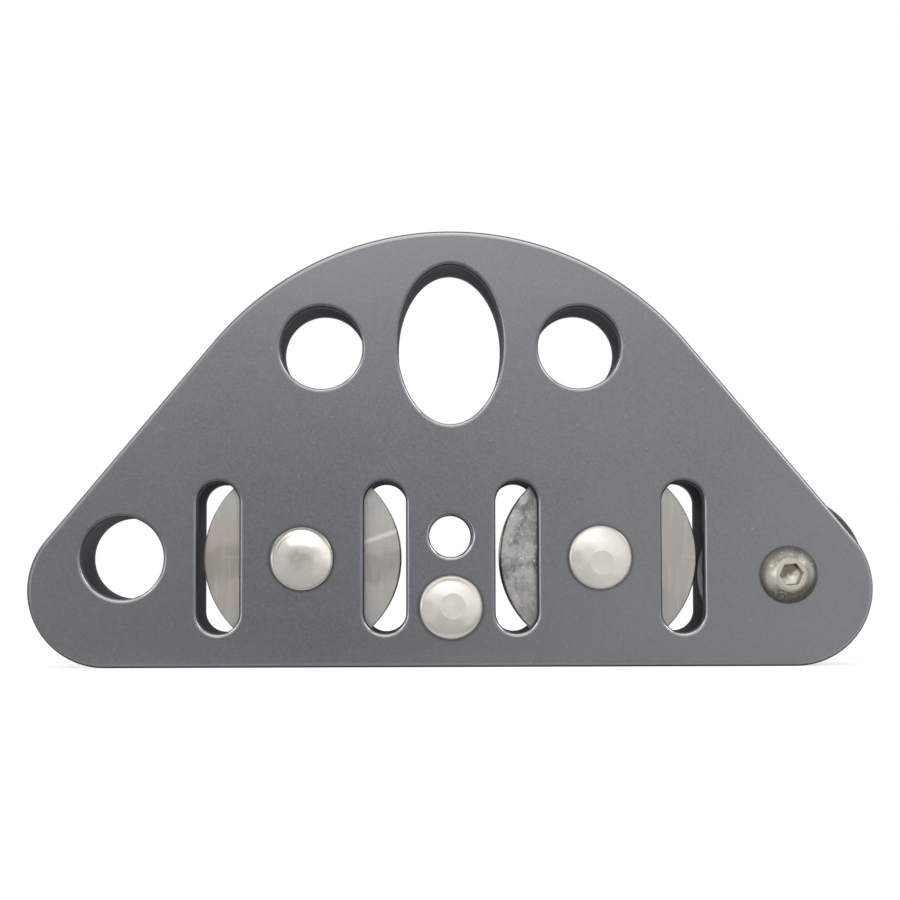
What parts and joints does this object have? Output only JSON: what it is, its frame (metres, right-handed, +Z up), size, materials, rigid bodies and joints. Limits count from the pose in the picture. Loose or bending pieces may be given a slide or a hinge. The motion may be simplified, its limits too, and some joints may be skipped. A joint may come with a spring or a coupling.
{
  "type": "tandem rope pulley",
  "caption": "Tandem rope pulley with fixed flat side plates, two grooved wheels in line, eyes for karabiners and a guide roller at one end.",
  "frame": {"origin": "middle of the gap between the side plates, half-way along the pulley, on the plane of the plates' flat lower edges", "axes": "+Z up from the flat edges to the eyes, +X along the pulley towards the guide roller, +Y from the front plate to the back plate"},
  "size_m": [0.256, 0.04, 0.1326],
  "materials": {
    "grey_anodised_plate": "satin grey anodised aluminium",
    "bare_wheel_metal": "turned and handled bare metal",
    "bush_bronze": "sintered bronze",
    "ground_steel": "ground steel",
    "rivet_steel": "bright pressed steel",
    "screw_steel": "plain stainless steel",
    "black_roller_plastic": "turned black plastic",
    "washer_plastic": "natural plastic"
  },
  "bodies": {
    "frame": {"side_plate_front": "grey_anodised_plate", "side_plate_back": "grey_anodised_plate", "middle_rivet": "rivet_steel", "middle_spacer": "ground_steel", "left_axle_rivet": "rivet_steel", "left_axle_sleeve": "ground_steel", "left_washer_front": "washer_plastic", "left_washer_back": "washer_plastic", "right_axle_rivet": "rivet_steel", "right_axle_sleeve": "ground_steel", "right_washer_front": "washer_plastic", "right_washer_back": "washer_plastic", "roller_screw": "screw_steel", "roller_sleeve_nut": "screw_steel", "roller_washer_front": "washer_plastic", "roller_washer_back": "washer_plastic"},
    "wheel_left": {"left_wheel": "bare_wheel_metal", "left_bush": "bush_bronze"},
    "wheel_right": {"right_wheel": "bare_wheel_metal", "right_bush": "bush_bronze"},
    "roller": {"guide_roller": "black_roller_plastic"}
  },
  "joints": [
    {"name": "left_wheel_spin", "type": "hinge", "parent": "frame", "child": "wheel_left", "pos_m": [-0.04515, 0, 0.0331], "axis": [0, 1, 0], "continuous": true},
    {"name": "right_wheel_spin", "type": "hinge", "parent": "frame", "child": "wheel_right", "pos_m": [0.04515, 0, 0.0331], "axis": [0, 1, 0], "continuous": true},
    {"name": "guide_roller_spin", "type": "hinge", "parent": "frame", "child": "roller", "pos_m": [0.1022, 0, 0.0276], "axis": [0, 1, 0], "continuous": true}
  ]
}
